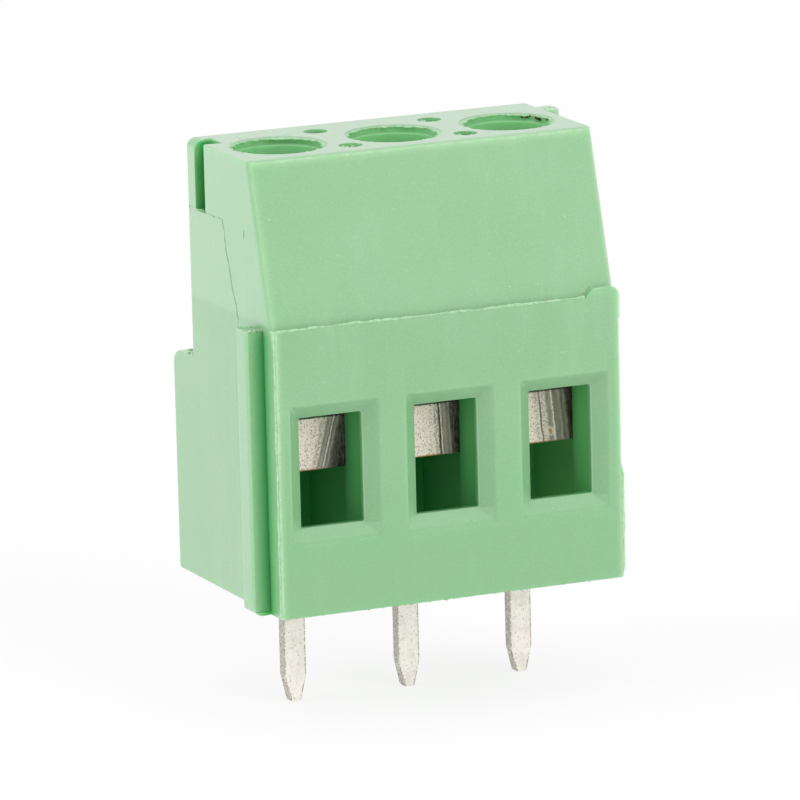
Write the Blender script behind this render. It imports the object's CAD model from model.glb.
"""Looks of a three-pole screw terminal: green moulded housing, clamp screws, cages and pins.

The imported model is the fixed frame: the wire entries face -Y, the poles run along X and the face
that sits on the board is at Z = 0. Blender's objects are in metres. Sizes and places are named in
millimetres, and MM turns them into metres where they reach a mesh or a node.
"""
import logging
import math
import random
from contextlib import contextmanager
from dataclasses import dataclass, field
from enum import Enum
from typing import Any, Callable, ClassVar, Iterator, Optional, Sequence, Union

import bmesh
import bpy
from mathutils import Matrix, Vector


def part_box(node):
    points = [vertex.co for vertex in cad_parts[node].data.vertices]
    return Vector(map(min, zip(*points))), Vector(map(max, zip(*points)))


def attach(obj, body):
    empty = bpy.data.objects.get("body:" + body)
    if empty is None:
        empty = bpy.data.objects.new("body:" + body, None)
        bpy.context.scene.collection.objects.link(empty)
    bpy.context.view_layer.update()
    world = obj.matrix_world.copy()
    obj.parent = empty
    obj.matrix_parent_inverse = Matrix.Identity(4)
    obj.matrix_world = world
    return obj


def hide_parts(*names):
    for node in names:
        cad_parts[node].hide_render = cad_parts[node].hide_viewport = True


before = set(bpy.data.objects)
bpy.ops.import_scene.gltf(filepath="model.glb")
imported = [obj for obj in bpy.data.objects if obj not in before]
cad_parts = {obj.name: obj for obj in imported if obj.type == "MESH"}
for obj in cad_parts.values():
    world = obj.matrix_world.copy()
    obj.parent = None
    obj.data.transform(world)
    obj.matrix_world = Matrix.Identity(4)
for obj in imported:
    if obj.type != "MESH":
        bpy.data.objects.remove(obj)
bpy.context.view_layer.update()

log = logging.getLogger("screw_terminal")

MM = 0.001

# Sizes and places that several parts share, in millimetres. The sloping face starts SHELF behind
# the front plate at its top edge and ends SETBACK behind it at the housing's top. What is as near
# to an edge as NEAR counts as being on it.
POLES = (1, 2, 3)
PITCH = 5.08
SIDE = 7.62
FRONT = -5.1
TOP = 18.39
PLATE_TOP = 11.83
SHELF = 0.29
SETBACK = 2.18
LEAN = (SETBACK - SHELF) / (TOP - PLATE_TOP)
WELL_R = 1.95
CAGE_HALF_DEPTH = 2.55
PIN_TIP = -4.75
NEAR = 0.01

Colour = tuple[float, float, float, float]
Operand = Union["Signal", float]
Setting = Union["Signal", float, Sequence[float]]
Layer = tuple[Operand, Setting]
Spot = tuple[Vector, float]
Pairs = tuple[tuple[float, float], ...]


class Body(Enum):
    """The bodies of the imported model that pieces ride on."""

    BLOCK = "block"
    SCREW = "screw_{}"
    CAGE = "cage_{}"

    def at(self, pole: int) -> str:
        """The body's name at a pole."""
        return self.value.format(pole)


class Slot(Enum):
    """The record's material slots."""

    PLASTIC = "housing_plastic"
    SCREW = "screw_steel"
    CAGE = "cage_metal"
    PIN = "tinned_pin"


def pole_axis(pole: int) -> float:
    """Place of a pole's axis along the row."""
    return (pole - 2) * PITCH


def paint(code: str) -> Colour:
    """Turns a display colour into the linear colour that a shader takes.

    Args:
        code: six hexadecimal digits, red first.

    Returns:
        Linear red, green and blue, with full alpha.
    """
    shares = [int(code[i:i + 2], 16) / 255 for i in (0, 2, 4)]
    linear = [s / 12.92 if s <= 0.04045 else ((s + 0.055) / 1.055) ** 2.4 for s in shares]
    return (linear[0], linear[1], linear[2], 1.0)


# ---- shader maths ---------------------------------------------------------------------


class Signal:
    """What a node gives. Python's operators add Math nodes to it, so they are for numbers."""

    def __init__(self, shader: "Shader", socket: Optional[bpy.types.NodeSocket]) -> None:
        """Keeps the socket that carries the value, and the shader that it belongs to."""
        self.shader = shader
        self.socket = socket

    def other(self, output: Union[int, str]) -> "Signal":
        """Another output of the same node, by its number or name."""
        return Signal(self.shader, self.socket.node.outputs[output])

    def _math(self, operation: str, first: Operand, second: Operand = 0.0) -> "Signal":
        """Adds one Math node.

        Args:
            operation: the node's operation.
            first: its first value.
            second: its second value, where the operation has one.

        Returns:
            The node's result.
        """
        return self.shader.node("Math", {"operation": operation}, {0: first, 1: second})

    def __add__(self, other: Operand) -> "Signal":
        """Adds."""
        return self._math("ADD", self, other)

    def __radd__(self, other: Operand) -> "Signal":
        """Adds, with the signal on the right."""
        return self._math("ADD", other, self)

    def __sub__(self, other: Operand) -> "Signal":
        """Subtracts."""
        return self._math("SUBTRACT", self, other)

    def __rsub__(self, other: Operand) -> "Signal":
        """Subtracts the signal from a number."""
        return self._math("SUBTRACT", other, self)

    def __mul__(self, other: Operand) -> "Signal":
        """Multiplies."""
        return self._math("MULTIPLY", self, other)

    def __rmul__(self, other: Operand) -> "Signal":
        """Multiplies, with the signal on the right."""
        return self._math("MULTIPLY", other, self)

    def __truediv__(self, other: Operand) -> "Signal":
        """Divides."""
        return self._math("DIVIDE", self, other)

    def __abs__(self) -> "Signal":
        """Drops the sign."""
        return self._math("ABSOLUTE", self)

    def largest(self, other: Operand) -> "Signal":
        """The larger of the two."""
        return self._math("MAXIMUM", self, other)

    def smallest(self, other: Operand) -> "Signal":
        """The smaller of the two."""
        return self._math("MINIMUM", self, other)

    def off_pole(self) -> "Signal":
        """How far a place along the row is from the nearest pole's axis, with its sign."""
        return self._math("FRACT", self / PITCH - 0.5) * PITCH - PITCH / 2

    def rise(self, low: float, high: float) -> "Signal":
        """Goes smoothly from 0 at low to 1 at high.

        Args:
            low: the value that gives 0.
            high: the value that gives 1, which may be the smaller one.

        Returns:
            The mask.
        """
        if low > high:
            return 1.0 - self.rise(high, low)
        settings = {"interpolation_type": "SMOOTHSTEP"}
        return self.shader.node("MapRange", settings, {0: self, 1: low, 2: high, 3: 0.0, 4: 1.0})


class Shader:
    """The nodes of a material or of the world, with one method that makes any node."""

    def __init__(self, owner: Union[bpy.types.Material, bpy.types.World]) -> None:
        """Empties the nodes of a material or of the world, to be built anew.

        Args:
            owner: the material or the world.
        """
        owner.use_nodes = True
        self.owner = owner
        self.tree = owner.node_tree
        self.tree.nodes.clear()

    @classmethod
    def named(cls, name: str) -> "Shader":
        """Starts a new material of that name."""
        return cls(bpy.data.materials.new(name))

    def node(self, kind: str, settings: dict[str, Any], values: dict[Any, Setting],
             output: Union[int, str] = 0) -> Signal:
        """Adds a node.

        Args:
            kind: the node's type without its ShaderNode prefix.
            settings: its own settings, set first; stops gives a colour ramp's stops.
            values: a value or a link for each input, by number or name.
            output: the number or name of the output that is wanted.

        Returns:
            That output, or an empty signal where the node has none.
        """
        made = self.tree.nodes.new("ShaderNode" + kind)
        for key, setting in settings.items():
            if key == "stops":
                self._set_stops(made.color_ramp, setting)
            else:
                setattr(made, key, setting)
        for key, value in values.items():
            if isinstance(value, Signal):
                self.tree.links.new(value.socket, made.inputs[key])
            else:
                made.inputs[key].default_value = value
        return Signal(self, made.outputs[output] if len(made.outputs) else None)

    @staticmethod
    def _set_stops(ramp: bpy.types.ColorRamp, stops: Sequence[tuple[float, Colour]]) -> None:
        """Gives a colour ramp its stops.

        Args:
            ramp: the ramp, with no more than its first two stops.
            stops: the place from 0 to 1 and the colour of each.
        """
        while len(ramp.elements) < len(stops):
            ramp.elements.new(0.5)
        for element, (position, colour) in zip(ramp.elements, stops):
            element.position = position
            element.color = colour

    def place_mm(self) -> Signal:
        """The surface point in the object's own frame, in millimetres."""
        point = self.node("TexCoord", {}, {}, "Object")
        return self.node("VectorMath", {"operation": "SCALE"}, {0: point, "Scale": 1 / MM})

    def split(self, vector: Signal) -> tuple[Signal, Signal, Signal]:
        """The three parts of a vector."""
        x = self.node("SeparateXYZ", {}, {0: vector})
        return x, x.other(1), x.other(2)

    def stretched(self, vector: Signal, by: Sequence[float]) -> Signal:
        """A vector with each part multiplied by its own factor."""
        return self.node("VectorMath", {"operation": "MULTIPLY"}, {0: vector, 1: by})

    def noise(self, vector: Signal, scale: float, detail: float, roughness: float) -> Signal:
        """Smooth noise from 0 to 1.

        Args:
            vector: where it is read.
            scale: features per unit of the vector.
            detail: finer octaves.
            roughness: strength of the finer octaves.

        Returns:
            The noise.
        """
        return self.node("TexNoise", {}, {"Vector": vector, "Scale": scale, "Detail": detail,
                                          "Roughness": roughness})

    def specks(self, vector: Signal, per_mm: float, size: float, share: float) -> Signal:
        """Small round marks scattered at random.

        Args:
            vector: where they are read, in millimetres.
            per_mm: cells per millimetre, of which some hold a mark.
            size: radius of a mark as a share of its cell.
            share: share of the cells that hold one.

        Returns:
            A mask that is 1 inside a mark.
        """
        reach = self.node("TexVoronoi", {}, {"Vector": vector, "Scale": per_mm}, "Distance")
        chance, bulk, _ = self.split(reach.other("Color"))
        return (reach / (0.3 + bulk)).rise(size, size * 0.5) * chance.rise(share, share * 0.9)

    def layered(self, colour: Setting, layers: Sequence[Layer]) -> Signal:
        """Lays colours over one another.

        Args:
            colour: the lowest colour.
            layers: for each colour above it, how much it covers and the colour itself.

        Returns:
            The mixed colour.
        """
        for share, cover in layers:
            colour = self.node("Mix", {"data_type": "RGBA"}, {0: share, 6: colour, 7: cover}, 2)
        return colour

    def relief(self, height: Signal, depth: float) -> Signal:
        """A bumped normal.

        Args:
            height: the relief, from 0 to 1.
            depth: how deep it is between 0 and 1, in millimetres.

        Returns:
            The normal.
        """
        return self.node("Bump", {}, {"Height": height, "Distance": depth * MM, "Strength": 1.0},
                         "Normal")

    def seen(self) -> Signal:
        """1 for rays from the camera or off a shiny surface, and 0 for all others."""
        camera = self.node("LightPath", {}, {}, "Is Camera Ray")
        return camera.largest(camera.other("Is Glossy Ray"))

    def finish(self, values: dict[Any, Setting]) -> bpy.types.Material:
        """Ends the material with a principled surface.

        Args:
            values: the surface's inputs by name.

        Returns:
            The material.
        """
        surface = self.node("BsdfPrincipled", {}, values)
        self.node("OutputMaterial", {}, {"Surface": surface})
        return self.owner


# ---- finishes ---------------------------------------------------------------------------


class Region(Enum):
    """Parts of the housing's surface, each given by its bounds.

    A bound names one of a HousingPoint's measures, and tells where the region's mask starts and
    where it is whole.
    """

    UPPER = (("z", 11.75, 12.1),)
    LOW_PLATE = (("z", 8.0, 3.0), ("plate", 0.3, 0.1))
    LEFT_PART = (("x", 6.0, -3.0),)
    RIGHT_END = (("x", 3.6, 6.6),)
    SIDES = (("side", 0.05, 0.01),)
    RIB_TIP = (("side", -0.6, -0.68),)
    CHAMBERS = (("front", 0.5, 0.8), ("plate", 8.6, 8.3), ("side", 0.25, 0.5), ("z", 13.9, 13.6))
    LANDS = (("plate", 1.35, 1.0),)
    DEEP = (("plate", 1.6, 3.4),)
    GROOVE = (("plate", 0.35, 1.1), ("plate", 1.35, 1.25), ("side", -0.65, 0.0),
              ("side", 0.6, 0.5), ("z", 11.8, 11.3))
    SLOT = (("y", 1.7, 1.9), ("y", 3.2, 3.0), ("side", 0.0, 0.5), ("side", 1.3, 1.2),
            ("z", 15.4, 15.6), ("z", 18.35, 18.2))
    WELLS = (("well", 3.98, 3.82), ("z", 13.6, 14.0))
    RIMS = (("plate", 0.47, 0.51), ("plate", 0.57, 0.53), ("side", 0.3, 0.4), ("z", 8.3, 8.1))
    SILLS = (("plate", 0.02, 0.15), ("plate", 0.56, 0.5), ("side", 0.3, 0.4),
             ("z", 3.6, 3.5), ("z", 2.8, 2.9))
    HAIR = (("hair", 0.035, 0.015), ("x", -5.0, -5.2), ("y", 1.85, 2.0), ("y", 3.2, 3.0),
            ("z", 18.3, 18.38))


class HousingPoint:
    """A point on the housing's surface, with the measures that bound its regions."""

    hair_x: ClassVar[float] = -5.86
    hair_y: ClassVar[float] = 2.05
    hair_bend: ClassVar[float] = 0.26

    def __init__(self, s: Shader, p: Signal) -> None:
        """Finds the point's measures in millimetres.

        They are its coordinates, its depths behind the plate, behind the plate or the slope,
        behind the nearer side and below the top, the square of its distance from the nearest
        well's axis, and its distance from the curved hair line on the top.

        Args:
            s: the material that is being built.
            p: the point.
        """
        self.x, self.y, self.z = s.split(p)
        self.plate = self.y - FRONT
        self.slope = self.y - (FRONT + SHELF) - (self.z - PLATE_TOP) * LEAN
        self.front = self.plate.smallest(self.slope)
        self.side = SIDE - abs(self.x)
        self.crown = TOP - self.z
        off = self.x.off_pole()
        self.well = off * off + self.y * self.y
        along = self.y - self.hair_y
        self.hair = abs(self.x - self.hair_x - along * along * self.hair_bend)

    def within(self, region: Region) -> Signal:
        """Multiplies the masks of a region's bounds.

        Args:
            region: the region.

        Returns:
            The region's mask.
        """
        mask, *others = [getattr(self, measure).rise(start, whole)
                         for measure, start, whole in region.value]
        for other in others:
            mask = mask * other
        return mask

    def to_edge(self) -> Signal:
        """The distance to the nearest outer edge."""
        down = self.plate.largest(self.side).smallest(self.slope.largest(self.side))
        return down.smallest(self.crown.largest(self.slope))


@dataclass(frozen=True)
class MouldedPlastic:
    """Green moulded plastic, slightly translucent, with dust, scuffs and whitened edges."""

    name: str = "moulded_plastic"
    body: Colour = paint("85B386")
    pale: Colour = paint("C4E8C6")
    glow: Colour = paint("C6E3B6")
    deep: Colour = paint("74AE78")
    inner: Colour = paint("56B067")
    core: Colour = paint("229C42")
    lit: Colour = paint("7ECF82")
    dirt: Colour = paint("55604A")

    def make(self) -> bpy.types.Material:
        """Builds the material.

        Returns:
            The material.
        """
        s = Shader.named(self.name)
        p = s.place_mm()
        at = HousingPoint(s, p)
        cloud = s.noise(p, 0.22, 3.0, 0.55)
        streak = s.noise(s.stretched(p, (0.9, 0.9, 0.14)), 1.0, 3.0, 0.6)
        scuff = s.noise(s.stretched(p, (0.8, 1.2, 2.2)), 1.3, 5.0, 0.7)
        grain = s.noise(p, 9.0, 3.0, 0.6)
        waves = s.noise(p, 0.8, 2.0, 0.5)
        upper = at.within(Region.UPPER)
        lower = at.within(Region.LOW_PLATE) * (0.5 + 0.5 * at.within(Region.LEFT_PART))
        sides = at.within(Region.SIDES) * (0.02 + 0.11 * upper)
        inner = at.within(Region.CHAMBERS).largest(at.within(Region.SLOT) * 0.8)
        inner = inner.largest(at.within(Region.GROOVE))
        deep = at.within(Region.DEEP).largest(at.within(Region.LANDS) * 0.25)
        lips = (at.within(Region.RIMS) * 0.3).largest(at.within(Region.SILLS) * 0.16)
        edge = at.to_edge()
        worn = (edge - s.noise(p, 3.2, 3.0, 0.7) * 0.2).rise(0.06, -0.05)
        colour = s.layered(self.body, [
            (cloud.rise(0.35, 0.7) * 0.3, self.deep),
            (streak.rise(0.45, 0.85) * 0.07, self.pale),
            (scuff.rise(0.6, 0.78) * 0.14, self.pale),
            (0.05 * upper + 0.07 * grain.rise(0.45, 0.7), self.pale),
            (lower * 0.3, self.deep),
            (sides + at.within(Region.RIB_TIP) * 0.1, self.pale),
            (inner, self.inner),
            (inner * deep, self.core),
            (inner * at.within(Region.RIGHT_END) * 0.5, self.lit),
            (at.within(Region.WELLS) * 0.55, self.lit),
            (lips, self.pale),
            (edge.rise(0.4, 0.0) * 0.25, self.glow),
            (worn * 0.35, self.pale),
            (at.within(Region.HAIR) * 0.6, self.dirt),
            (s.specks(p, 3.1, 0.11, 0.2) * 0.5, self.pale),
            (s.specks(p, 2.3, 0.07, 0.2) * 0.6, self.dirt),
        ])
        rough = 0.24 + 0.08 * cloud + 0.06 * grain + 0.15 * worn + 0.2 * inner
        return s.finish({"Base Color": colour, "Roughness": rough,
                         "Normal": s.relief(0.55 * waves + 0.12 * grain, 0.02),
                         "IOR": 1.5, "Coat Weight": 0.8 - 0.8 * inner, "Coat Roughness": 0.22,
                         "Sheen Weight": 0.12, "Sheen Roughness": 0.35,
                         "Subsurface Weight": 0.45, "Subsurface Scale": 0.8 * MM,
                         "Subsurface Radius": (0.35, 1.0, 0.35)})


@dataclass(frozen=True)
class MottledTrim:
    """Dull trim or dirt whose two colours are mixed by noise."""

    name: str
    first: Colour
    second: Colour
    scale: float
    roughness: float
    mix: tuple[float, float]
    dullness: float
    depth: float
    glow: float = 0.0

    def make(self) -> bpy.types.Material:
        """Builds the material.

        Returns:
            The material.
        """
        s = Shader.named(self.name)
        mottle = s.noise(s.place_mm(), self.scale, 3.0, self.roughness)
        colour = s.layered(self.first, [(mottle.rise(*self.mix), self.second)])
        return s.finish({"Base Color": colour, "Roughness": self.dullness + 0.2 * mottle,
                         "Normal": s.relief(mottle, self.depth), "Subsurface Weight": self.glow,
                         "Subsurface Scale": 0.5 * MM, "Subsurface Radius": (0.6, 1.0, 0.6)})


MOULD_FLASH = MottledTrim("mould_flash", paint("ADD9AB"), paint("8ECA8E"), scale=6.0,
                          roughness=0.65, mix=(0.35, 0.65), dullness=0.45, depth=0.02, glow=0.5)
WITNESS_SHADE = MottledTrim("witness_shade", paint("6E9E73"), paint("A4CFA6"), scale=2.2,
                            roughness=0.6, mix=(0.4, 0.62), dullness=0.4, depth=0.01)
GRIME = MottledTrim("grime", paint("6B5430"), paint("33301F"), scale=12.0,
                    roughness=0.7, mix=(0.4, 0.6), dullness=0.7, depth=0.02)


@dataclass(frozen=True)
class ShearedPlate:
    """Plated metal whose cropped front face shows the shear's bands, streaks and pits.

    The bands are given across the face as places in millimetres from the pole's axis, each with
    its brightness from 0 to 1. They lean, and are at their places at the height mid_z.
    """

    pole: int
    lean: float
    bands: Pairs
    spot: Optional[tuple[float, float]] = None
    name: str = "cage_metal"
    bright: Colour = paint("FFF1E4")
    dark: Colour = paint("292A1F")
    grey: Colour = paint("C4BDAA")
    rust: Colour = paint("B98A55")
    pit: Colour = paint("3C362E")
    mid_z: float = 6.5
    low_z: float = 5.42

    def make(self) -> bpy.types.Material:
        """Builds the material.

        Returns:
            The material.
        """
        s = Shader.named(self.name)
        p = s.place_mm()
        x, y, z = s.split(p)
        streak = s.noise(s.stretched(p, (9.0, 9.0, 0.5)), 1.0, 4.0, 0.7)
        fine = s.noise(s.stretched(p, (26.0, 26.0, 1.6)), 1.0, 2.0, 0.6)
        cloud = s.noise(p, 1.3, 3.0, 0.6)
        tooth = s.noise(s.stretched(p, (7.0, 7.0, 3.5)), 1.0, 3.0, 0.75)
        sand = s.noise(p, 11.0, 2.0, 0.8)
        wander = (s.noise(s.stretched(p, (2.0, 2.0, 2.4)), 1.0, 3.0, 0.6) - 0.5) * 0.1

        across = x - pole_axis(self.pole) - (z - self.mid_z) * self.lean + wander
        level = self._level(s, across)
        bare = level.rise(0.3, 0.7)
        shade = level * (0.85 + 0.4 * streak) + (fine - 0.5) * 0.3 + (tooth - 0.5) * 0.35
        face = y.rise(0.12 - CAGE_HALF_DEPTH, 0.06 - CAGE_HALF_DEPTH)
        pits = s.specks(s.stretched(p, (1.0, 1.0, 0.8)), 8.5, 0.3, 0.5) * bare
        burr = (z + tooth * 0.08).rise(self.low_z + 0.13, self.low_z + 0.07) * face
        layers = [
            (streak.rise(0.38, 0.66), self.bright),
            (cloud.rise(0.45, 0.75) * 0.35, self.grey),
            (face, s.layered(self.dark, [(shade, self.bright)])),
            (sand.rise(0.46, 0.36) * face * 0.6 * bare, self.pit),
            (sand.rise(0.53, 0.62) * face * 0.7 * bare, self.bright),
            (pits * 0.8, self.pit),
            (burr * level.rise(0.2, 0.6) * 0.9, self.rust),
        ]
        if self.spot:
            aside, above = across - self.spot[0], z - self.spot[1]
            away = aside * aside + above * above + (tooth - 0.5) * 0.12
            layers += [(away.rise(0.05, 0.03) * face * 0.5, self.bright),
                       (away.rise(0.012, 0.006) * face * 0.85, self.rust)]
        height = 0.4 * streak + 0.25 * fine + 0.3 * level + 0.35 * tooth + 0.3 * sand - 0.5 * pits
        return s.finish({"Base Color": s.layered(self.grey, layers),
                         "Metallic": 0.65 - 0.3 * pits,
                         "Roughness": 0.34 + 0.2 * fine + 0.25 * pits,
                         "Normal": s.relief(height, 0.04)})

    def _level(self, s: Shader, across: Signal) -> Signal:
        """Reads how bright the bands are at a place across the face.

        Args:
            s: the material that is being built.
            across: the place, in millimetres from the pole's axis.

        Returns:
            The brightness from 0 to 1.
        """
        first, last = self.bands[0][0], self.bands[-1][0]
        stops = [((place - first) / (last - first), (level, level, level, 1.0))
                 for place, level in self.bands]
        return s.node("ValToRGB", {"stops": stops}, {0: (across - first) / (last - first)})


CROPPED_FACES = (
    ShearedPlate(1, 0.27, ((-0.7, 0.95), (0.22, 0.9), (0.36, 0.55), (0.44, 0.8), (0.54, 0.28),
                           (0.66, 0.45), (0.72, 0.2), (0.78, 0.95), (0.83, 0.2), (0.93, 0.4),
                           (1.02, 0.15), (1.4, 0.04))),
    ShearedPlate(2, -0.05, ((-0.7, 0.95), (0.38, 0.9), (0.46, 0.6), (0.54, 0.8), (0.62, 0.05),
                            (0.66, 0.08), (0.7, 1.0), (0.76, 0.3), (0.9, 0.42), (0.98, 0.25),
                            (1.06, 0.4), (1.14, 0.1), (1.4, 0.03))),
    ShearedPlate(3, -0.09, ((-0.7, 0.95), (-0.2, 0.8), (-0.12, 0.6), (0.02, 0.8), (0.08, 0.08),
                            (0.14, 0.7), (0.32, 0.7), (0.42, 0.3), (0.58, 0.4), (0.65, 1.0),
                            (0.71, 0.25), (0.9, 0.3), (0.98, 0.45), (1.06, 0.18),
                            (1.2, 0.32), (1.28, 0.08), (1.4, 0.03)), spot=(0.42, 5.86)),
)


@dataclass(frozen=True)
class TinnedStrip:
    """Tin-plated strip: warm, dull silver with fine grey freckles."""

    name: str = "tinned_strip"
    bright: Colour = paint("FFF9F0")
    grey: Colour = paint("C9C1B6")
    spot: Colour = paint("5E574F")
    side: Colour = paint("B4ADA2")
    half_width: float = 0.47
    tip_half_width: float = 0.21
    taper_top: float = -3.6
    housing_foot: tuple[float, float] = (-0.4, 0.6)

    def make(self) -> bpy.types.Material:
        """Builds the material.

        Returns:
            The material.
        """
        s = Shader.named(self.name)
        p = s.place_mm()
        cloud = s.noise(p, 1.6, 4.0, 0.65)
        freckle = s.noise(p, 11.0, 3.0, 0.75)
        spots = s.specks(p, 7.5, 0.26, 0.3)
        inside = self._inside_edge(s, p)
        line = inside.rise(0.06, 0.03) * freckle.rise(0.38, 0.58)
        colour = s.layered(self.bright, [
            (cloud.rise(0.4, 0.75) * 0.4, self.grey),
            (freckle.rise(0.54, 0.66) * 0.6, self.grey),
            (spots * 0.7, self.spot),
            (line * 0.75, self.spot),
            (inside.rise(0.02, 0.004) * 0.45, self.side),
        ])
        return s.finish({"Base Color": colour, "Metallic": 0.65 - 0.3 * spots,
                         "Roughness": 0.36 + 0.2 * freckle,
                         "Normal": s.relief(freckle + 0.5 * cloud, 0.012)})

    def _inside_edge(self, s: Shader, p: Signal) -> Signal:
        """Finds how far inside its nearer edge a point of a pin's broad face is.

        Args:
            s: the material that is being built.
            p: the surface point in millimetres.

        Returns:
            The distance in millimetres, which grows where the pin enters the housing.
        """
        x, _, z = s.split(p)
        taper = z.rise(self.taper_top, PIN_TIP) * (self.half_width - self.tip_half_width)
        return self.half_width - taper - abs(x.off_pole()) + z.rise(*self.housing_foot)


@dataclass(frozen=True)
class ZincScrew:
    """Zinc-plated steel with turning marks."""

    name: str = "zinc_screw"
    bright: Colour = paint("C9CCCF")
    blue: Colour = paint("9DA5AD")
    dull: Colour = paint("7C7A74")

    def make(self) -> bpy.types.Material:
        """Builds the material.

        Returns:
            The material.
        """
        s = Shader.named(self.name)
        p = s.place_mm()
        rings = s.noise(s.stretched(p, (1.2, 1.2, 16.0)), 1.0, 3.0, 0.6)
        cloud = s.noise(p, 1.1, 4.0, 0.6)
        colour = s.layered(self.bright, [(cloud.rise(0.35, 0.7) * 0.7, self.blue),
                                         (s.specks(p, 5.0, 0.25, 0.2) * 0.6, self.dull)])
        return s.finish({"Base Color": colour, "Metallic": 0.95,
                         "Roughness": 0.28 + 0.2 * rings, "Normal": s.relief(rings, 0.012)})


# ---- modelling ---------------------------------------------------------------------------


def activate(*pieces: bpy.types.Object) -> None:
    """Selects some pieces and nothing else.

    Args:
        *pieces: the pieces, of which the first one becomes the active one.
    """
    bpy.ops.object.select_all(action="DESELECT")
    for piece in pieces:
        piece.select_set(True)
    bpy.context.view_layer.objects.active = pieces[0]


@contextmanager
def editing(piece: bpy.types.Object, everything: bool = True) -> Iterator[None]:
    """Opens a piece in edit mode for the length of a with block.

    Args:
        piece: the piece to edit.
        everything: whether all of it is selected at first.

    Yields:
        Nothing.
    """
    activate(piece)
    bpy.ops.object.mode_set(mode="EDIT")
    bpy.ops.mesh.select_all(action="SELECT" if everything else "DESELECT")
    yield
    bpy.ops.object.mode_set(mode="OBJECT")


def modify(piece: bpy.types.Object, kind: str, **settings: Any) -> None:
    """Adds a modifier to a piece and applies it.

    Args:
        piece: the piece.
        kind: the modifier's type.
        **settings: the modifier's own settings.
    """
    activate(piece)
    modifier = piece.modifiers.new(kind.lower(), kind)
    for key, setting in settings.items():
        setattr(modifier, key, setting)
    bpy.ops.object.modifier_apply(modifier=modifier.name)


def smooth(piece: bpy.types.Object, angle: float = 35) -> None:
    """Shades a piece smoothly.

    Args:
        piece: the piece.
        angle: angle in degrees above which an edge stays sharp.
    """
    activate(piece)
    bpy.ops.object.shade_smooth_by_angle(angle=math.radians(angle))
    modify(piece, "WEIGHTED_NORMAL", keep_sharp=True)


def copied_node(node: str, name: str, weld: float = 0.0005, flat: float = 0.4) -> bpy.types.Object:
    """Copies a node's mesh into a new piece with its triangles merged into whole faces.

    Args:
        node: the node's name.
        name: the new piece's name.
        weld: distance below which two points become one.
        flat: angle in degrees below which two faces become one.

    Returns:
        The new piece.
    """
    piece = bpy.data.objects.new(name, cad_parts[node].data.copy())
    bpy.context.scene.collection.objects.link(piece)
    piece.data.materials.clear()
    activate(piece)
    bpy.ops.mesh.customdata_custom_splitnormals_clear()
    with editing(piece):
        bpy.ops.mesh.remove_doubles(threshold=weld * MM)
        bpy.ops.mesh.dissolve_limited(angle_limit=math.radians(flat))
    return piece


def round_edges(piece: bpy.types.Object, width: float, chosen: Callable[[Vector], bool],
                steps: int = 2, sharp: float = 28) -> None:
    """Rounds a piece's sharp edges whose middle passes a test.

    Args:
        piece: the piece.
        width: width of the rounding.
        chosen: takes an edge's middle and tells whether it is rounded.
        steps: faces across the rounding.
        sharp: angle between its faces above which an edge counts as sharp, in degrees.
    """
    with editing(piece, everything=False):
        bpy.ops.mesh.select_mode(type="EDGE")
        mesh = bmesh.from_edit_mesh(piece.data)
        for edge in mesh.edges:
            middle = (edge.verts[0].co + edge.verts[1].co) / (2 * MM)
            edge.select_set(len(edge.link_faces) == 2 and chosen(middle)
                            and edge.calc_face_angle() > math.radians(sharp))
        bmesh.update_edit_mesh(piece.data)
        bpy.ops.mesh.bevel(offset=width * MM, segments=steps, affect="EDGES",
                           clamp_overlap=False)


def move_points(piece: bpy.types.Object, by: Vector, chosen: Callable[[Vector], bool]) -> None:
    """Moves a piece's points that pass a test.

    Args:
        piece: the piece.
        by: how far they move.
        chosen: takes a point and tells whether it moves.
    """
    with editing(piece, everything=False):
        bpy.ops.mesh.select_mode(type="VERT")
        mesh = bmesh.from_edit_mesh(piece.data)
        for point in mesh.verts:
            point.select_set(chosen(point.co / MM))
        bmesh.update_edit_mesh(piece.data)
        bpy.ops.transform.translate(value=by * MM)


def ribbon(name: str, steps: int, place: Callable[[float, float], Vector],
           thickness: float) -> bpy.types.Object:
    """Adds a thin strip, laid point by point and then thickened.

    Args:
        name: the piece's name.
        steps: faces along it.
        place: takes the share of the way along and across, and gives the point.
        thickness: its thickness.

    Returns:
        The strip.
    """
    bpy.ops.object.select_all(action="DESELECT")
    bpy.ops.mesh.primitive_grid_add(x_subdivisions=steps, y_subdivisions=1, size=2)
    piece = bpy.context.object
    piece.name = name
    for vertex in piece.data.vertices:
        vertex.co = place((vertex.co.x + 1) / 2, (vertex.co.y + 1) / 2) * MM
    modify(piece, "SOLIDIFY", thickness=thickness * MM, offset=0.0)
    with editing(piece):
        bpy.ops.mesh.normals_make_consistent(inside=False)
    smooth(piece, 50)
    return piece


def scatter(name: str, spots: Sequence[Spot], chance: random.Random) -> bpy.types.Object:
    """Adds small uneven lumps as one piece.

    Args:
        name: the piece's name.
        spots: the middle and the radius of each lump.
        chance: what the lumps' unevenness is drawn from.

    Returns:
        The lumps.
    """
    bpy.ops.object.select_all(action="DESELECT")
    bpy.ops.mesh.primitive_ico_sphere_add(subdivisions=2, radius=1.0)
    pattern = bpy.context.object
    lumps = []
    for middle, radius in spots:
        lump = pattern.copy()
        lump.data = pattern.data.copy()
        bpy.context.scene.collection.objects.link(lump)
        scale = Vector((chance.uniform(0.6, 1.3), chance.uniform(0.6, 1.3),
                        chance.uniform(0.5, 0.9)))
        for vertex in lump.data.vertices:
            uneven = radius * chance.uniform(0.7, 1.15)
            vertex.co = (middle + vertex.co * scale * uneven) * MM
        lumps.append(lump)
    bpy.data.objects.remove(pattern)
    activate(*lumps)
    bpy.ops.object.join()
    piece = bpy.context.object
    piece.name = name
    smooth(piece, 60)
    return piece


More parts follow.
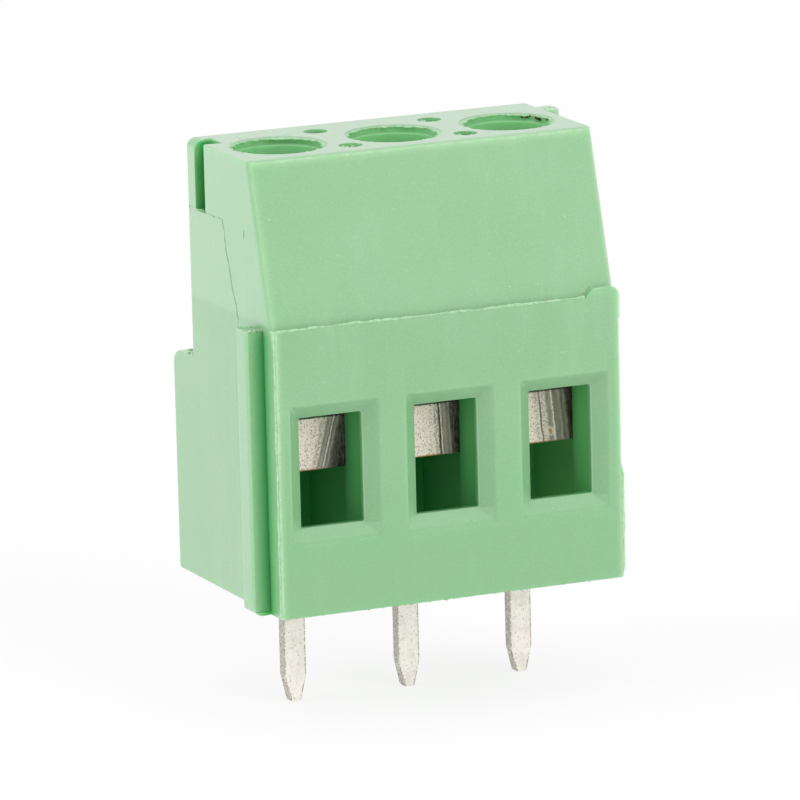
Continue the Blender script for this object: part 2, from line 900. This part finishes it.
def dress(piece: bpy.types.Object, finish: bpy.types.Material, body: str) -> None:
    """Gives a finished piece its material and the body that it rides on.

    Args:
        piece: the piece.
        finish: its material.
        body: the name of the body that carries it.
    """
    piece.data.materials.clear()
    piece.data.materials.append(finish)
    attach(piece, body)
    log.info("%s rides on %s", piece.name, body)


@dataclass
class Housing:
    """The moulded housing, with its softened edges."""

    plastic: bpy.types.Material
    entry_half: float = 1.37
    entry_low: float = 3.58
    entry_high: float = 8.1
    bevel_width: float = 0.62
    bevel_depth: float = 0.53
    ring_depth: float = 0.28
    guide_r: float = 1.7
    side_end: float = -7.6
    rib_tip: float = -7.94
    rib_depths: tuple[float, float] = (-3.28, -2.9)
    rib_widening: float = 0.34
    plate_back: float = -4.35
    plate_thickening: float = 0.37
    groove_back: float = -3.98
    slot_right: float = -6.7
    slot_depths: tuple[float, float] = (1.5, 3.2)
    slot_foot: float = 15.5
    rim_round: float = 0.09
    throat_round: float = 0.05
    well_round: float = 0.07
    joint_round: float = 0.04

    def build(self) -> None:
        """Models the housing and replaces its plain solid."""
        shell = copied_node("housing", "housing_shell")
        move_points(shell, Vector((0, self.rib_widening, 0)), self._on_rib_tip)
        move_points(shell, Vector((0, self.plate_thickening, 0)), self._on_plate_back)
        round_edges(shell, self.rim_round, self._on_entry_rim, steps=3)
        round_edges(shell, self.throat_round, self._on_entry_throat)
        round_edges(shell, self.well_round, self._on_well_rim)
        round_edges(shell, self.joint_round, self._on_joint)
        smooth(shell)
        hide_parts("housing")
        dress(shell, self.plastic, Body.BLOCK.value)

    @staticmethod
    def _off_pole(x: float) -> float:
        """Distance along the row from the nearest pole's axis."""
        return abs(x - PITCH * round(x / PITCH))

    def _on_rib_tip(self, m: Vector) -> bool:
        """Whether a point is on the rear edge of the rib's tip."""
        near, far = self.rib_depths
        return m.x < self.rib_tip and near < m.y < far

    def _on_plate_back(self, m: Vector) -> bool:
        """Whether a point is on the front plate's rear left edge."""
        return m.x < self.side_end and abs(m.y - self.plate_back) < 2 * NEAR

    def _on_entry_rim(self, m: Vector) -> bool:
        """Tells whether a point is on the outer rim or in a corner of a bevel round an entry.

        Args:
            m: the point.

        Returns:
            Whether it is.
        """
        reach = self.bevel_width + 2 * NEAR
        inside = (self.entry_low - reach < m.z < self.entry_high + reach
                  and self._off_pole(m.x) < self.entry_half + reach)
        return inside and m.y < FRONT + self.bevel_depth - 5 * NEAR

    def _on_entry_throat(self, m: Vector) -> bool:
        """Whether a point is where a bevel meets its entry's straight land."""
        return (abs(m.y - FRONT - self.bevel_depth) < NEAR
                and self.entry_low - NEAR < m.z < self.entry_high + NEAR)

    def _on_well_rim(self, m: Vector) -> bool:
        """Tells whether a point is on a rim of a screwdriver well.

        Args:
            m: the point.

        Returns:
            Whether it is at the mouth or on the step below it.
        """
        r = math.hypot(self._off_pole(m.x), m.y)
        mouth = m.z > TOP - NEAR and abs(r - WELL_R) < 3 * NEAR
        step = abs(m.z - TOP + self.ring_depth) < NEAR and abs(r - self.guide_r) < 3 * NEAR
        return mouth or step

    def _on_joint(self, m: Vector) -> bool:
        """Tells whether a point is on the left side's joints.

        Args:
            m: the point.

        Returns:
            Whether it is on the groove beside the rib or on the upper slot.
        """
        groove = m.x < self.side_end and abs(m.y - self.groove_back) < NEAR
        near, far = self.slot_depths
        slot = m.x < self.slot_right and near < m.y < far and m.z > self.slot_foot
        return groove or slot


@dataclass
class MouldTrim:
    """What the mould leaves on the housing: torn fins, teeth, crumbs and witness lines."""

    flash: bpy.types.Material
    shade: bpy.types.Material
    dirt: bpy.types.Material
    tongue_lumps: Pairs = (
        (7.72, 1.95), (7.86, 2.3), (8.02, 2.2), (8.14, 2.45), (8.2, 2.2))
    core_holes: Pairs = (
        (-2.54, -1.5), (-2.54, 2.1), (2.54, -1.5), (2.54, 2.1))
    grime_angles: tuple[float, ...] = (46, 40, 37, 28, 23, 19, 9, 3, -4, -17)
    lines: tuple[Pairs, ...] = (
        ((3.5, 15.58), (1.85, 15.6), (0.01, 15.57), (-0.13, 15.3), (-0.35, 14.33),
         (-0.87, 12.93), (-1.3, 12.0), (-1.4, 11.6)),
        ((-2.24, 15.53), (-2.23, 15.19)))
    chance: random.Random = field(default_factory=lambda: random.Random(11))

    def build(self) -> None:
        """Models the trim, piece by piece."""
        self._plate_fin()
        self._plate_bead()
        self._right_bead()
        for pole in POLES:
            self._well_teeth(pole)
        self._crumbs()
        self._grime()
        for number, corners in enumerate(self.lines):
            self._witness_line(number, corners)

    @staticmethod
    def _wear(piece: bpy.types.Object, finish: bpy.types.Material) -> None:
        """Gives a piece its finish, and fixes it to the housing."""
        dress(piece, finish, Body.BLOCK.value)

    def _torn(self, count: int, low: float, high: float, power: float = 1.0,
              calm: float = 0.85) -> list[float]:
        """Draws uneven heights for a torn edge.

        Args:
            count: how many.
            low: the least height.
            high: the greatest height.
            power: how rare the high ones are.
            calm: how much each is like the one before.

        Returns:
            The heights.
        """
        heights, last = [], 0.4
        spread = 0.85 / math.sqrt((1 - calm) / (1 + calm))
        for _ in range(count):
            last = calm * last + (1 - calm) * self.chance.random()
            share = min(max((last - 0.5) * spread + 0.5, 0.0), 1.0)
            heights.append(low + (high - low) * share ** power)
        return heights

    def _plate_fin(self) -> None:
        """Models the torn fin along the front plate's top edge."""
        steps, length = 150, 2 * SIDE - 1.6
        left, root_y, root_z = 0.06 - SIDE, FRONT + 0.035, PLATE_TOP - 0.09
        tear = self._torn(steps + 1, 0.04, 0.12, calm=0.8)
        sway = self._torn(steps + 1, 0.0, 0.05)

        def place(along: float, across: float) -> Vector:
            """A point of the fin, which leans back and stops short of the raised corner."""
            i = round(along * steps)
            return Vector((left + along * length, root_y + sway[i] * across,
                           root_z + (0.06 + tear[i]) * across))

        self._wear(ribbon("plate_fin", steps, place, 0.065), self.flash)

    def _plate_bead(self) -> None:
        """Models the wavy bead down the front plate's left edge."""
        steps, length, foot = 170, 11.6, 0.12
        root_x, root_y = 0.05 - SIDE, FRONT + 0.05
        reach = self._torn(steps + 1, 0.01, 0.05)
        sway = self._torn(steps + 1, 0.0, 0.09)

        def place(along: float, across: float) -> Vector:
            """A point of the bead, which sways to the front and back."""
            i = round(along * steps)
            return Vector((root_x - (0.05 + reach[i]) * across, root_y + sway[i] * 0.6,
                           foot + along * length))

        self._wear(ribbon("plate_bead", steps, place, 0.05), self.flash)

    def _right_bead(self) -> None:
        """Models the flash that stands out of the front plate's right edge below its nick."""
        steps, length, foot = 70, 4.65, 0.1
        root_x, root_y = SIDE - 0.05, FRONT + 0.06
        reach = self._torn(steps + 1, 0.05, 0.11)

        def place(along: float, across: float) -> Vector:
            """A point of the flash, which tapers off at both ends."""
            out = (0.05 + reach[round(along * steps)]) * across
            return Vector((root_x + out * min(1.0, 12 * along, 12 * (1 - along)),
                           root_y + 0.05 * across, foot + along * length))

        self._wear(ribbon("right_bead", steps, place, 0.06), self.flash)

    def _well_teeth(self, pole: int) -> None:
        """Models the torn ring of flash inside a well's mouth.

        Args:
            pole: the well's pole.
        """
        steps, axis = 120, pole_axis(pole)
        root_r, root_z = WELL_R + 0.03, TOP - 0.045
        tear = self._torn(steps + 1, 0.02, 0.26, power=2.0, calm=0.4)
        tear[-1] = tear[0]

        def place(along: float, across: float) -> Vector:
            """A point of the ring, whose teeth point inwards and a little down."""
            angle, r = along * math.tau, root_r - (0.05 + tear[round(along * steps)]) * across
            return Vector((axis + r * math.cos(angle), r * math.sin(angle),
                           root_z - 0.03 * across))

        self._wear(ribbon(f"well_teeth_{pole}", steps, place, 0.05), self.flash)

    def _strewn(self, count: int, box: Sequence[Union[float, tuple[float, float]]],
                radius: tuple[float, float]) -> list[Spot]:
        """Strews crumbs over a place.

        Args:
            count: how many.
            box: for each axis, the place or the range of places.
            radius: the least and the greatest radius.

        Returns:
            The crumbs' places and radii.
        """
        roll = self.chance.uniform
        return [(Vector([roll(*reach) if isinstance(reach, tuple) else reach for reach in box]),
                 roll(*radius)) for _ in range(count)]

    def _crumbs(self) -> None:
        """Models the crumbs on rib, plate, ledge, slope's edge, base, tongue and core holes."""
        roll = self.chance.uniform
        rib_top = ((-8.2, -7.7), (-4.0, -2.95), 11.72)
        plate_top = ((-7.5, 6.0), (-5.04, -4.86), PLATE_TOP)
        ledge = ((-7.6, -6.6), (3.75, 4.9), 9.3)
        base = ((-7.3, 7.4), FRONT + 0.07, (-0.03, 0.01))
        spots = self._strewn(16, rib_top, (0.03, 0.08))
        spots += self._strewn(30, plate_top, (0.012, 0.032))
        spots += self._strewn(26, ledge, (0.03, 0.09))
        for _ in range(22):
            z = roll(14.2, 18.1)
            behind_slope = FRONT + 0.5 + (z - PLATE_TOP) * round(LEAN, 3)
            spots.append((Vector((0.1 - SIDE, behind_slope, z)), roll(0.015, 0.045)))
        spots += self._strewn(34, base, (0.025, 0.05))
        spots += [(Vector((x, y, TOP - 0.1)), 0.1) for x, y in self.tongue_lumps]
        for x, y in self.core_holes:
            for _ in range(5):
                angle, r = roll(0, math.tau), roll(0.25, 0.45)
                middle = Vector((x + r * math.cos(angle), y + r * math.sin(angle), TOP - 0.16))
                spots.append((middle, roll(0.06, 0.14)))
        self._wear(scatter("crumbs", spots, self.chance), self.flash)

    def _grime(self) -> None:
        """Models the brown dirt caught in the step of the right-hand well."""
        roll = self.chance.uniform
        axis, r = pole_axis(POLES[-1]), WELL_R - 0.04
        spots = []
        for angle in self.grime_angles:
            turn = math.radians(angle + roll(-3, 3))
            middle = Vector((axis + r * math.cos(turn), r * math.sin(turn), TOP - roll(0.07, 0.2)))
            spots.append((middle, roll(0.03, 0.09)))
        self._wear(scatter("grime", spots, self.chance), self.dirt)

    def _witness_line(self, number: int, corners: Pairs) -> None:
        """Models a hair-thin raised line that the mould's parts leave on the left side.

        Args:
            number: the line's number.
            corners: its path, by the corners' Y and Z.
        """
        out = Vector((-1, 0, 0))
        path = [Vector((-SIDE, y, z)) for y, z in corners]
        width, lift = 0.03, 0.002

        def place(along: float, across: float) -> Vector:
            """Finds a point of the line, which wavers as it goes.

            Args:
                along: share of the way along.
                across: share of the way across.

            Returns:
                The point.
            """
            share = along * (len(path) - 1)
            i = min(int(share), len(path) - 2)
            point = path[i].lerp(path[i + 1], share - i)
            ahead = (path[i + 1] - path[i]).normalized()
            wobble = 0.02 * math.sin(37 * along) + 0.012 * math.sin(91 * along)
            return point + ahead.cross(out) * (wobble + width * (across - 0.5)) + out * lift

        self._wear(ribbon(f"witness_line_{number}", 60, place, 0.02), self.shade)


@dataclass
class PolePart:
    """A metal part of which each pole has one, and which replaces its plain solid."""

    node: ClassVar[str]
    piece: ClassVar[str]
    slot: ClassVar[Slot]
    body: ClassVar[Body]
    pole: int
    metal: bpy.types.Material

    def build(self) -> None:
        """Models the part and replaces its plain solid."""
        node = f"{self.node}_{self.pole}"
        part = copied_node(node, f"{self.piece}_{self.pole}")
        self._shape(part)
        smooth(part)
        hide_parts(node)
        dress(part, self.metal, self.body.at(self.pole))

    def _shape(self, part: bpy.types.Object) -> None:
        """Shapes the copy of the plain solid."""
        raise NotImplementedError


@dataclass
class ClampCage(PolePart):
    """One rising cage."""

    node: ClassVar[str] = "clamp_cage"
    piece: ClassVar[str] = "cage_body"
    slot: ClassVar[Slot] = Slot.CAGE
    body: ClassVar[Body] = Body.CAGE
    edge_round: float = 0.04

    def _shape(self, part: bpy.types.Object) -> None:
        """Softens the cropped edges at the cage's front and back."""
        round_edges(part, self.edge_round, lambda m: abs(m.y) > CAGE_HALF_DEPTH - NEAR)


@dataclass
class ClampScrew(PolePart):
    """One clamp screw, with a right-hand thread cut into its shank."""

    node: ClassVar[str] = "clamp_screw"
    piece: ClassVar[str] = "screw_body"
    slot: ClassVar[Slot] = Slot.SCREW
    body: ClassVar[Body] = Body.SCREW
    radius: float = 1.5
    thread_pitch: float = 0.5
    thread_depth: float = 0.29
    crest: float = 0.125
    flanks: float = 0.625
    head_z: float = 13.99
    head_round: float = 0.05
    rings: int = 100
    run_in: float = 0.3
    run_out: float = 0.4

    def _shape(self, part: bpy.types.Object) -> None:
        """Softens the head's edges and cuts the thread."""
        round_edges(part, self.head_round, lambda m: m.z > self.head_z + 0.1)
        self._cut_thread(part)

    def _cut_thread(self, screw: bpy.types.Object) -> None:
        """Cuts the shank into rings and draws them in and out along a helix.

        Args:
            screw: the screw, whose shank is a plain cylinder.
        """
        axis = pole_axis(self.pole)

        def on_shank(vertex: bmesh.types.BMVert) -> bool:
            """Whether a point is on the cylinder."""
            r = math.hypot(vertex.co.x / MM - axis, vertex.co.y / MM)
            return abs(r - self.radius) < NEAR

        with editing(screw, everything=False):
            bpy.ops.mesh.select_mode(type="EDGE")
            mesh = bmesh.from_edit_mesh(screw.data)
            for edge in mesh.edges:
                a, b = edge.verts
                upright = abs(a.co.z - b.co.z) > 1.0 * MM
                edge.select_set(upright and on_shank(a) and on_shank(b))
            bmesh.update_edit_mesh(screw.data)
            bpy.ops.mesh.subdivide(number_cuts=self.rings)
            mesh = bmesh.from_edit_mesh(screw.data)
            shank = [vertex for vertex in mesh.verts if on_shank(vertex)]
            low = min(vertex.co.z for vertex in shank) / MM
            for vertex in shank:
                x, y, z = vertex.co.x / MM - axis, vertex.co.y / MM, vertex.co.z / MM
                turn = (z / self.thread_pitch - math.atan2(y, x) / math.tau) % 1.0
                groove = min(max((abs(2 * turn - 1) - self.crest) / self.flanks, 0.0), 1.0)
                fade = min(max((z - low) / self.run_in, 0.0),
                           max((self.head_z - z) / self.run_out, 0.0), 1.0)
                share = 1 - groove * fade * self.thread_depth / self.radius
                vertex.co.x, vertex.co.y = (axis + x * share) * MM, y * share * MM
            bmesh.update_edit_mesh(screw.data)


@dataclass
class SolderContact(PolePart):
    """One contact strip with its solder pin."""

    node: ClassVar[str] = "solder_contact"
    piece: ClassVar[str] = "contact_strip"
    slot: ClassVar[Slot] = Slot.PIN
    body: ClassVar[Body] = Body.BLOCK
    half_width: float = 1.35
    tip_flat: float = 0.15
    edge_round: float = 0.03
    tip_round: float = 0.13

    def _shape(self, part: bpy.types.Object) -> None:
        """Softens the strip's edges and rounds the pin's tip.

        Args:
            part: the copy of the plain solid.
        """
        axis = pole_axis(self.pole)
        round_edges(part, self.edge_round, lambda m: abs(m.x - axis) > self.half_width - NEAR)
        round_edges(part, self.tip_round,
                    lambda m: m.z < PIN_TIP + NEAR and abs(m.x - axis) > self.tip_flat, steps=3)


# ---- studio -------------------------------------------------------------------------------


@dataclass
class Studio:
    """Pale floor, soft lamps and the camera, with the studio's own places in metres."""

    lens_mm: float = 368.98
    sensor_mm: float = 36.0
    place: Vector = field(default_factory=lambda: Vector((-0.13098, -0.3008, 0.07806)))
    yaw: float = 23.531
    drop: float = 12.172
    roll: float = -1.468
    floor_half: float = 3.0
    lamp_side: float = 0.40
    key: Vector = field(default_factory=lambda: Vector((0.20, -0.55, 0.28)))
    key_power: float = 1.8
    fill: Vector = field(default_factory=lambda: Vector((-0.55, 0.08, 0.27)))
    fill_power: float = 1.5
    aim: Vector = field(default_factory=lambda: Vector((0, 0, 0.007)))

    def build(self) -> None:
        """Sets up the floor, the light and the camera."""
        self._floor()
        self._world()
        self._lamp("key", self.key, self.key_power)
        self._lamp("fill", self.fill, self.fill_power)
        self._camera()
        bpy.context.scene.view_settings.view_transform = "Standard"

    def _camera(self) -> None:
        """Places the camera by its heading, its downward tilt and its roll."""
        yaw, drop = math.radians(self.yaw), math.radians(self.drop)
        ahead = Vector((math.sin(yaw) * math.cos(drop), math.cos(yaw) * math.cos(drop),
                        -math.sin(drop)))
        right = Vector((math.cos(yaw), -math.sin(yaw), 0.0))
        upright = right.cross(ahead)
        turn = Matrix((right, upright, -ahead)).transposed().to_4x4()
        lens = bpy.data.cameras.new("camera")
        lens.lens, lens.sensor_width = self.lens_mm, self.sensor_mm
        lens.clip_start, lens.clip_end = 0.01, 10.0
        camera = bpy.data.objects.new("camera", lens)
        bpy.context.scene.collection.objects.link(camera)
        camera.matrix_world = (Matrix.Translation(self.place) @ turn
                               @ Matrix.Rotation(math.radians(self.roll), 4, "Z"))
        bpy.context.scene.camera = camera

    def _lamp(self, name: str, place: Vector, power: float) -> None:
        """Adds a soft square lamp aimed at the object.

        Args:
            name: the lamp's name.
            place: where it hangs.
            power: its power in watts.
        """
        light = bpy.data.lights.new(name, "AREA")
        light.size, light.energy = self.lamp_side, power
        lamp = bpy.data.objects.new(name, light)
        bpy.context.scene.collection.objects.link(lamp)
        lamp.visible_glossy = False
        lamp.location = place
        lamp.rotation_euler = (self.aim - place).to_track_quat("-Z", "Y").to_euler()

    @staticmethod
    def _world() -> None:
        """Lights the scene from all round, with white behind what shines."""
        world = bpy.data.worlds.new("studio")
        bpy.context.scene.world = world
        s = Shader(world)
        strength = s.node("MapRange", {}, {"Value": s.seen(), "To Min": 1.05, "To Max": 1.15})
        light = s.node("Background", {}, {"Strength": strength})
        s.node("OutputWorld", {}, {"Surface": light})

    def _floor(self) -> None:
        """Lays a plain pale floor under the pins."""
        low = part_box("solder_contact_1")[0].z
        bpy.ops.object.select_all(action="DESELECT")
        bpy.ops.mesh.primitive_plane_add(size=2 * self.floor_half, location=(0, 0, low))
        floor = bpy.context.object
        floor.name = "floor"
        s = Shader.named("pale_floor")
        plain = s.node("BsdfDiffuse", {}, {"Color": (0.9, 0.9, 0.9, 1.0)})
        white = s.node("Emission", {}, {"Color": (1.0, 1.0, 1.0, 1.0), "Strength": 1.0})
        mixed = s.node("MixShader", {}, {0: s.seen() * 0.8, 1: plain, 2: white})
        s.node("OutputMaterial", {}, {"Surface": mixed})
        floor.data.materials.append(s.owner)


def main() -> None:
    """Builds the studio and the pieces in order."""
    logging.basicConfig(level=logging.INFO)
    Studio().build()
    Housing(MouldedPlastic().make()).build()
    MouldTrim(MOULD_FLASH.make(), WITNESS_SHADE.make(), GRIME.make()).build()
    zinc = ZincScrew().make()
    tinned = TinnedStrip().make()
    for pole, face in zip(POLES, CROPPED_FACES):
        ClampCage(pole, face.make()).build()
        ClampScrew(pole, zinc).build()
        SolderContact(pole, tinned).build()


if __name__ == "__main__":
    main()
